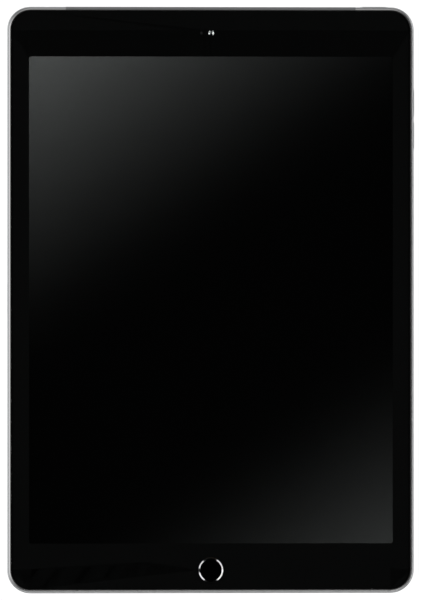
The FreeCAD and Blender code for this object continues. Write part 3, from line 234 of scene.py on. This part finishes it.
def grey(level, tint=0.0):
    """An RGBA grey; a positive tint makes it cooler."""
    return (level * (1 - tint), level, level * (1 + tint), 1.0)


# ---- materials -----------------------------------------------------------------------------------

def case_aluminium():
    """Bead-blasted, anodised grey with fine grain; the narrow bevel round the glass is machined bright."""
    made = Surface("case_aluminium", metallic=1.0)
    grain = made.noise(5200, 2.0)
    cloud = made.noise(22, 3.0)
    blasted = made.mix(cloud, grey(0.36, 0.02), grey(0.40, 0.015))
    blasted = made.mix(made.range(grain, 0.0, 0.35, 0.35, 0.75), blasted, grey(0.46, 0.01))
    split = made.node("ShaderNodeSeparateXYZ")
    made.link(made.place, split.inputs[0])
    edge = made.range(split.outputs["Z"], 0.0, 1.0, BEVEL_LOW, BEVEL_HIGH)
    turning = made.noise(900, 4.0, vector=made.stretched((1, 1, 40)))
    bright = made.mix(turning, grey(0.74), grey(0.86))
    made.colour(made.mix(edge, blasted, bright))
    made.rough(made.blend(edge, made.range(grain, 0.28, 0.38), made.range(turning, 0.08, 0.14)))
    made.bump(grain, 0.10, 0.04 * MM)
    return made.material


def antenna_plastic():
    """Fine-textured dark grey moulding that lets the radio through."""
    made = Surface("antenna_plastic", Specular_IOR_Level=0.45)
    texture = made.noise(6500, 2.0)
    made.colour(made.mix(made.noise(60, 3.0), grey(0.115, 0.02), grey(0.135, 0.02)))
    made.rough(made.range(texture, 0.42, 0.56))
    made.bump(texture, 0.12, 0.03 * MM)
    return made.material


def pane(name, tint):
    """A clear sheet: it mirrors more at a grazing look, lets the rest through, and has faint smears."""
    material = bpy.data.materials.new(name)
    material.use_nodes = True
    sheet = Nodes(material.node_tree)
    sheet.tree.nodes.clear()
    slant = sheet.node("ShaderNodeLayerWeight")
    slant.inputs["Blend"].default_value = 0.5
    steep = sheet.math("POWER", slant.outputs["Facing"], GLASS_STEEPNESS)
    share = sheet.math("MULTIPLY_ADD", steep, 1 - GLASS_MIRROR, GLASS_MIRROR)

    clear = sheet.node("ShaderNodeBsdfTransparent")
    clear.inputs["Color"].default_value = tint
    gloss = sheet.node("ShaderNodeBsdfPrincipled")
    gloss.inputs["Metallic"].default_value = 1.0
    gloss.inputs["Base Color"].default_value = (1, 1, 1, 1)
    smear = sheet.node("ShaderNodeTexNoise")
    smear.inputs["Scale"].default_value = 26
    smear.inputs["Detail"].default_value = 4
    smear.inputs["Distortion"].default_value = 1.2
    sheet.link(sheet.node("ShaderNodeTexCoord").outputs["Object"], smear.inputs["Vector"])
    sheet.link(sheet.range(smear.outputs["Fac"], 0.0, 0.02, 0.45, 0.75), gloss.inputs["Roughness"])

    both = sheet.node("ShaderNodeMixShader")
    sheet.link(share, both.inputs[0])
    sheet.link(clear.outputs[0], both.inputs[1])
    sheet.link(gloss.outputs[0], both.inputs[2])
    sheet.link(both.outputs[0], sheet.node("ShaderNodeOutputMaterial").inputs["Surface"])
    return material


def black_ink():
    """The black print behind the glass: almost no light comes back from it."""
    made = Surface("black_ink", Specular_IOR_Level=0.05)
    made.colour(made.mix(made.noise(2400, 2.0), grey(0.0004), grey(0.0007)))
    made.rough(made.range(made.noise(300, 3.0), 0.5, 0.65))
    return made.material


def polarizer():
    """The display's dark satin film, which spreads a soft sheen from a lamp."""
    made = Surface("polarizer", Specular_IOR_Level=0.5)
    speckle = made.noise(7000, 1.0)
    made.colour(made.mix(speckle, grey(0.0007), grey(0.0011)))
    made.rough(made.range(speckle, 0.08, 0.10))
    return made.material


def rubber():
    """Matt black seal with a slightly dusty skin."""
    made = Surface("black_rubber", Specular_IOR_Level=0.3)
    skin = made.noise(1500, 4.0)
    made.colour(made.mix(skin, grey(0.004), grey(0.010)))
    made.rough(made.range(skin, 0.55, 0.75))
    made.bump(skin, 0.25, 0.02 * MM)
    return made.material


def sheet_steel():
    """Rolled sheet: fine lines one way, with small stains and worn spots."""
    made = Surface("sheet_steel", metallic=1.0)
    lines = made.noise(400, 4.0, vector=made.stretched((1, 14, 1)))
    stains = made.noise(120, 5.0, 0.65)
    made.colour(made.mix(made.range(stains, 0.0, 0.6, 0.4, 0.7), grey(0.56), grey(0.42, -0.02)))
    made.rough(made.range(lines, 0.24, 0.44))
    made.bump(lines, 0.15, 0.01 * MM)
    return made.material


def battery_pouch():
    """Laminated foil under a dark wrap, gently rippled."""
    made = Surface("battery_pouch", Specular_IOR_Level=0.5)
    ripple = made.noise(70, 3.0)
    made.colour(made.mix(made.noise(900, 3.0), grey(0.02), grey(0.032)))
    made.rough(made.range(ripple, 0.38, 0.55))
    made.bump(ripple, 0.3, 0.2 * MM)
    return made.material


def circuit_board():
    """Dark solder mask with the relief of the tracks below it."""
    made = Surface("circuit_board", Specular_IOR_Level=0.5)
    tracks = made.cells(700, vector=made.stretched((1, 3, 1)))
    gap = made.range(tracks, 0.0, 1.0, 0.1, 0.5)
    made.colour(made.mix(gap, (0.008, 0.028, 0.018, 1), (0.014, 0.045, 0.03, 1)))
    made.rough(made.range(made.noise(800), 0.3, 0.42))
    made.bump(tracks, 0.3, 0.02 * MM)
    return made.material


def moulding(name, colour, other, roughness, scale=3000):
    """A moulded plastic: a fine texture, slightly uneven in colour and gloss."""
    made = Surface(name, Specular_IOR_Level=0.4)
    texture = made.noise(scale, 2.0)
    made.colour(made.mix(made.noise(scale / 40, 3.0), colour, other))
    made.rough(made.range(texture, roughness - 0.07, roughness + 0.07))
    made.bump(texture, 0.15, 0.02 * MM)
    return made.material


def plated(name, colour, other, roughness):
    """A plated metal with faint polishing marks."""
    made = Surface(name, metallic=1.0)
    marks = made.noise(1600, 4.0, vector=made.stretched((1, 5, 1)))
    made.colour(made.mix(marks, colour, other))
    made.rough(made.range(marks, roughness * 0.8, roughness * 1.25))
    made.bump(marks, 0.06, 0.005 * MM)
    return made.material


def turned_metal(name, node, colour, other, smooth, coarse):
    """A metal turned on a lathe: its marks run round the middle of the given node."""
    made = Surface(name, metallic=1.0)
    low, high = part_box(node)
    offset = made.node("ShaderNodeVectorMath", operation="SUBTRACT")
    made.link(made.place, offset.inputs[0])
    offset.inputs[1].default_value = (low + high) / 2
    reach = made.node("ShaderNodeVectorMath", operation="LENGTH")
    made.link(offset.outputs[0], reach.inputs[0])
    rings = made.node("ShaderNodeTexNoise", noise_dimensions="1D")
    made.link(reach.outputs["Value"], rings.inputs["W"])
    rings.inputs["Scale"].default_value = LATHE_MARKS
    made.colour(made.mix(rings.outputs["Fac"], colour, other))
    made.rough(made.range(rings.outputs["Fac"], smooth, coarse))
    made.bump(rings.outputs["Fac"], 0.04, 0.004 * MM)
    return made.material


def sapphire_black():
    """The button's cap: clear sapphire with black behind it, with a trace of finger marks."""
    made = Surface("sapphire_black", IOR=1.76)
    marks = made.noise(500, 4.0, 0.6)
    made.colour(made.mix(marks, grey(0.0005), grey(0.0009)))
    made.rough(made.range(marks, 0.04, 0.12, 0.45, 0.8))
    return made.material


def lens_glass(name):
    """A coated lens: nearly black, with a faint violet bloom."""
    made = Surface(name, IOR=1.6)
    bloom = made.noise(900, 2.0)
    made.colour(made.mix(bloom, (0.002, 0.002, 0.004, 1), (0.004, 0.003, 0.008, 1)))
    made.rough(made.range(bloom, 0.02, 0.06))
    return made.material


def woven_steel():
    """The fine mesh behind the speaker holes."""
    made = Surface("woven_steel", metallic=1.0)
    weave = made.cells(9000)
    made.colour(made.mix(made.range(weave, 0.0, 1.0, 0.2, 0.6), grey(0.12), grey(0.02)))
    made.rough(made.range(weave, 0.35, 0.6))
    made.bump(weave, 0.5, 0.03 * MM)
    return made.material


def slot_materials():
    """One material for each material slot of the record."""
    cream, pale_cream = (0.62, 0.58, 0.50, 1), (0.68, 0.65, 0.57, 1)
    amber, pale_amber = (0.20, 0.08, 0.02, 1), (0.26, 0.11, 0.03, 1)
    gold, pale_gold = (0.83, 0.60, 0.25, 1), (0.90, 0.70, 0.34, 1)
    steel, pale_steel = grey(0.20, 0.01), grey(0.25, 0.01)
    return {
        "case_aluminium": case_aluminium(),
        "antenna_plastic": antenna_plastic(),
        "cover_glass": pane("cover_glass_clear", (0.97, 0.985, 0.98, 1)),
        "black_ink": black_ink(),
        "black_rubber": rubber(),
        "polarizer": polarizer(),
        "panel_glass": moulding("panel_glass", grey(0.010), grey(0.014), 0.15),
        "acrylic": moulding("acrylic", grey(0.70, 0.02), grey(0.76, 0.02), 0.18),
        "diffuser": moulding("diffuser", grey(0.80), grey(0.85), 0.6),
        "sheet_steel": sheet_steel(),
        "battery_pouch": battery_pouch(),
        "adhesive": moulding("adhesive", grey(0.72), grey(0.80), 0.7, 1200),
        "circuit_board": circuit_board(),
        "chip_resin": moulding("chip_resin", grey(0.018), grey(0.028), 0.55),
        "connector_plastic": moulding("connector_plastic", cream, pale_cream, 0.5),
        "flex_film": moulding("flex_film", amber, pale_amber, 0.35, 1500),
        "black_plastic": moulding("black_plastic", grey(0.012), grey(0.020), 0.45),
        "gold_contact": plated("gold_contact", gold, pale_gold, 0.22),
        "magnet": plated("magnet", grey(0.50), grey(0.58), 0.2),
        "sapphire_black": sapphire_black(),
        "ring_steel": turned_metal("ring_steel", "home_button_ring", steel, pale_steel, 0.10, 0.16),
        "tray_aluminium": plated("tray_aluminium", grey(0.48, 0.01), grey(0.56, 0.01), 0.32),
        "lens_glass": lens_glass("lens_glass"),
    }


def paint_nodes():
    """Give every CAD node its slot's material; a few nodes have their own."""
    made = slot_materials()
    mesh = woven_steel()
    rim = turned_metal("camera_rim", "front_camera_trim", grey(0.19), grey(0.25), 0.14, 0.20)
    own = {
        "speaker_mesh_left": mesh,
        "speaker_mesh_right": mesh,
        "front_camera_trim": rim,
        "light_sensor": moulding("sensor_window", grey(0.0025), grey(0.004), 0.4),
    }
    for name, item in NODES.items():
        item.data.materials.clear()
        item.data.materials.append(own.get(name, made[SLOT_OF[name]]))


# ---- pieces of its own ---------------------------------------------------------------------------

def turned_mesh(name, profile, centre):
    """A solid turned about a vertical axis. The profile's first and last (radius, height) lie on the axis."""
    sides = TURNED_SIDES
    points = [(centre.x, centre.y, profile[0][1])]
    for radius, height in profile[1:-1]:
        for side in range(sides):
            turn = math.tau * side / sides
            points.append((centre.x + radius * math.cos(turn), centre.y + radius * math.sin(turn), height))
    points.append((centre.x, centre.y, profile[-1][1]))
    last_ring = 1 + (len(profile) - 3) * sides
    faces = []
    for side in range(sides):
        after = (side + 1) % sides
        faces.append((0, 1 + side, 1 + after))
        for ring in range(1, last_ring, sides):
            faces.append((ring + side, ring + sides + side, ring + sides + after, ring + after))
        faces.append((last_ring + side, len(points) - 1, last_ring + after))
    mesh = bpy.data.meshes.new(name)
    mesh.from_pydata(points, [], faces)
    mesh.shade_smooth()
    mesh.set_sharp_from_angle(angle=math.radians(30))
    return mesh


def turned_piece(name, profile, centre, material):
    """A turned solid that rides on the enclosure."""
    mesh = turned_mesh(name, profile, centre)
    mesh.materials.append(material)
    piece = bpy.data.objects.new(name, mesh)
    bpy.context.scene.collection.objects.link(piece)
    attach(piece, "enclosure")
    return piece


def add_rear_optics():
    """The rear camera's clear window, with the stepped barrel and the domed lens that show behind it."""
    low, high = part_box("rear_camera_lens")
    centre = (low + high) / 2
    radius = (high.x - low.x) / 2
    ring, lens = 0.72 * radius, 0.45 * radius
    depth = high.z - low.z
    window_back, front, middle, back = (low.z + share * depth for share in (0.30, 0.36, 0.56, 0.78))
    chamfer, lens_gap, seat_gap = 0.08 * MM, 0.02 * MM, 0.01 * MM

    window = turned_piece("rear_camera_window", (
        (0, low.z), (radius - chamfer, low.z), (radius, low.z + chamfer),
        (radius, window_back), (0, window_back),
    ), centre, pane("camera_window_clear", (0.93, 0.95, 0.97, 1)))
    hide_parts("rear_camera_lens")

    turned_piece("rear_camera_barrel", (
        (0, back), (lens, back), (lens, middle), (ring - chamfer, middle), (ring, middle - chamfer),
        (ring, front), (radius, front), (radius, high.z), (0, high.z),
    ), centre, moulding("barrel_black", grey(0.006), grey(0.012), 0.35, 5000))

    bulge = back - front - chamfer
    seat = back - seat_gap
    shares = [step / DOME_STEPS for step in range(DOME_STEPS)]
    dome = [(lens * share, back - bulge * (1 - share ** 2)) for share in shares]
    dome += [(lens - lens_gap, seat), (0, seat)]
    turned_piece("rear_camera_dome", dome, centre, lens_glass("dome_glass"))


# ---- stage ---------------------------------------------------------------------------------------

def floor_mesh():
    """A disc whose edge curves up into a low wall."""
    sides = FLOOR_SIDES
    inner = FLOOR_RADIUS - COVE_RADIUS
    profile = [(inner, 0.0)]
    for step in range(1, COVE_STEPS + 1):
        turn = math.radians(90 * step / COVE_STEPS)
        profile.append((inner + COVE_RADIUS * math.sin(turn), COVE_RADIUS * (1 - math.cos(turn))))
    profile.append((FLOOR_RADIUS, WALL_HEIGHT))

    points = []
    for reach, height in profile:
        for side in range(sides):
            turn = math.tau * side / sides
            points.append((reach * math.cos(turn), reach * math.sin(turn), height))
    faces = [list(range(sides))]
    for below in range(0, (len(profile) - 1) * sides, sides):
        above = below + sides
        for side in range(sides):
            after = (side + 1) % sides
            faces.append((below + side, below + after, above + after, above + side))
    mesh = bpy.data.meshes.new("floor")
    mesh.from_pydata(points, [], faces)
    return mesh


def add_floor():
    """A large pale round floor, mostly lit by itself. The metal mirrors the studio instead of it."""
    paint = Surface("floor_paint", roughness=0.9, Specular_IOR_Level=0.0)
    paint.colour(paint.mix(paint.noise(3, 2.0), grey(0.20), grey(0.21)))
    paint.shader.inputs["Emission Color"].default_value = grey(1.0)
    paint.shader.inputs["Emission Strength"].default_value = FLOOR_GLOW
    paint.material.cycles.emission_sampling = "NONE"
    mesh = floor_mesh()
    mesh.materials.append(paint.material)
    floor = bpy.data.objects.new("floor", mesh)
    bpy.context.scene.collection.objects.link(floor)
    floor.location.z = CAD_LOW.z - FLOOR_GAP
    floor.visible_glossy = False


def all_but_screen():
    """What the softboxes light: everything but the glossy black faces, which would mirror them whole."""
    receivers = bpy.data.collections.new("all_but_screen")
    for name in SCREEN_NODES:
        receivers.objects.link(NODES[name])
    for member in receivers.collection_objects:
        member.light_linking.link_state = "EXCLUDE"
    return receivers


def add_softboxes():
    """Rectangular lamps round the object, at the slope that the button's ring mirrors."""
    reach = BOX_DISTANCE * math.cos(BOX_ELEVATION)
    rise = BOX_DISTANCE * math.sin(BOX_ELEVATION)
    low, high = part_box("home_button_ring")
    centre = (low + high) / 2
    receivers = all_but_screen()
    for first, last, radiance in SOFTBOXES:
        turn = math.radians(first + last) / 2
        width = 2 * reach * math.tan(math.radians(last - first) / 2)
        data = bpy.data.lights.new("softbox", "AREA")
        data.shape = "RECTANGLE"
        data.size, data.size_y = width, BOX_HEIGHT
        data.energy = radiance * math.pi * width * BOX_HEIGHT
        lamp = bpy.data.objects.new("softbox", data)
        lamp.location = (centre.x + reach * math.cos(turn), centre.y + reach * math.sin(turn), rise)
        lamp.rotation_euler = (centre - lamp.location).to_track_quat("-Z", "Y").to_euler()
        lamp.visible_camera = False
        lamp.light_linking.receiver_collection = receivers
        bpy.context.scene.collection.objects.link(lamp)


def card_paint():
    """The card's own light: it grows from two lines towards two opposite corners."""
    material = bpy.data.materials.new("card_paint")
    material.use_nodes = True
    paint = Nodes(material.node_tree)
    paint.tree.nodes.clear()
    along = paint.node("ShaderNodeVectorMath", operation="DOT_PRODUCT")
    paint.link(paint.node("ShaderNodeTexCoord").outputs["Object"], along.inputs[0])
    along.inputs[1].default_value = (math.cos(SHEEN_TURN), math.sin(SHEEN_TURN), 0)
    total = SHEEN_BASE
    for way, start, radiance in SHEENS:
        reach = paint.math("MULTIPLY", along.outputs["Value"], way)
        past = paint.math("MAXIMUM", paint.math("SUBTRACT", reach, start), 0.0)
        glow = paint.math("POWER", paint.math("DIVIDE", past, SHEEN_REACH - start), SHEEN_POWER)
        total = paint.math("MULTIPLY_ADD", glow, radiance, total)
    emission = paint.node("ShaderNodeEmission")
    paint.link(total, emission.inputs["Strength"])
    paint.link(emission.outputs[0], paint.node("ShaderNodeOutputMaterial").inputs["Surface"])
    return material


def add_sheen_card(camera):
    """A glowing card overhead that only the display film mirrors, large enough to fill its mirror image."""
    mesh = bpy.data.meshes.new("sheen_card")
    half_x, half_y = CAD_HIGH.x, CAD_HIGH.y
    corners = [(-half_x, -half_y, 0), (half_x, -half_y, 0), (half_x, half_y, 0), (-half_x, half_y, 0)]
    mesh.from_pydata(corners, [], [(0, 1, 2, 3)])
    mesh.materials.append(card_paint())
    card = bpy.data.objects.new("sheen_card", mesh)
    bpy.context.scene.collection.objects.link(card)
    spread = CARD_HEIGHT / camera.location.z
    card.scale = (1 + spread, 1 + spread, 1)
    card.location = (-camera.location.x * spread, -camera.location.y * spread, CARD_HEIGHT)
    card.visible_camera = False
    card.visible_diffuse = False
    card.visible_transmission = False
    card.visible_shadow = False
    receivers = bpy.data.collections.new("sheen_receivers")
    receivers.objects.link(NODES["display_polarizer"])
    card.light_linking.receiver_collection = receivers


def add_world():
    """The studio's strip lights, each brightest straight towards its side, in a black room."""
    world = bpy.data.worlds.new("studio")
    world.use_nodes = True
    bpy.context.scene.world = world
    room = Nodes(world.node_tree)
    split = room.node("ShaderNodeSeparateXYZ")
    room.link(room.node("ShaderNodeTexCoord").outputs["Generated"], split.inputs[0])
    across, along, height = split.outputs

    level = room.math("ADD", room.math("POWER", across, 2.0), room.math("POWER", along, 2.0))
    level = room.math("MAXIMUM", room.math("POWER", level, STRIP_FOCUS / 2), LEAST_LEVEL)
    total = 0.0
    for axis, way, low, high, radiance in STRIPS:
        facing = room.math("MAXIMUM", room.math("MULTIPLY", split.outputs[axis], way), 0.0)
        share = room.math("DIVIDE", room.math("POWER", facing, STRIP_FOCUS), level)
        above = room.range(height, 0.0, 1.0, low, low + STRIP_FADE, "SMOOTHSTEP")
        beyond = room.range(height, 0.0, 1.0, high, high + STRIP_FADE, "SMOOTHSTEP")
        inside = room.math("SUBTRACT", above, beyond)
        total = room.math("MULTIPLY_ADD", room.math("MULTIPLY", share, inside), radiance, total)
    background = room.tree.nodes["Background"]
    background.inputs["Color"].default_value = (1, 1, 1, 1)
    room.link(total, background.inputs["Strength"])


def add_camera():
    """Above the screen and a little to its left, its up direction along +Y."""
    data = bpy.data.cameras.new("camera")
    camera = bpy.data.objects.new("camera", data)
    bpy.context.scene.collection.objects.link(camera)
    low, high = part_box("rear_enclosure")
    data.sensor_width = SENSOR_WIDTH
    data.lens = SENSOR_WIDTH * CAMERA_DISTANCE * BODY_FILL / (high.y - low.y)
    data.clip_end = 10 * CAMERA_DISTANCE
    aim = Vector((0, 0, SIDE_HEIGHT))
    camera.location = aim + CAMERA_DISTANCE * Vector((-math.sin(CAMERA_TILT), 0, math.cos(CAMERA_TILT)))
    camera.rotation_euler = (0, -CAMERA_TILT, 0)
    bpy.context.scene.camera = camera
    return camera


# ---- the scene -----------------------------------------------------------------------------------

paint_nodes()
add_rear_optics()
add_floor()
add_softboxes()
add_world()
add_sheen_card(add_camera())
bpy.context.scene.view_settings.view_transform = "Standard"
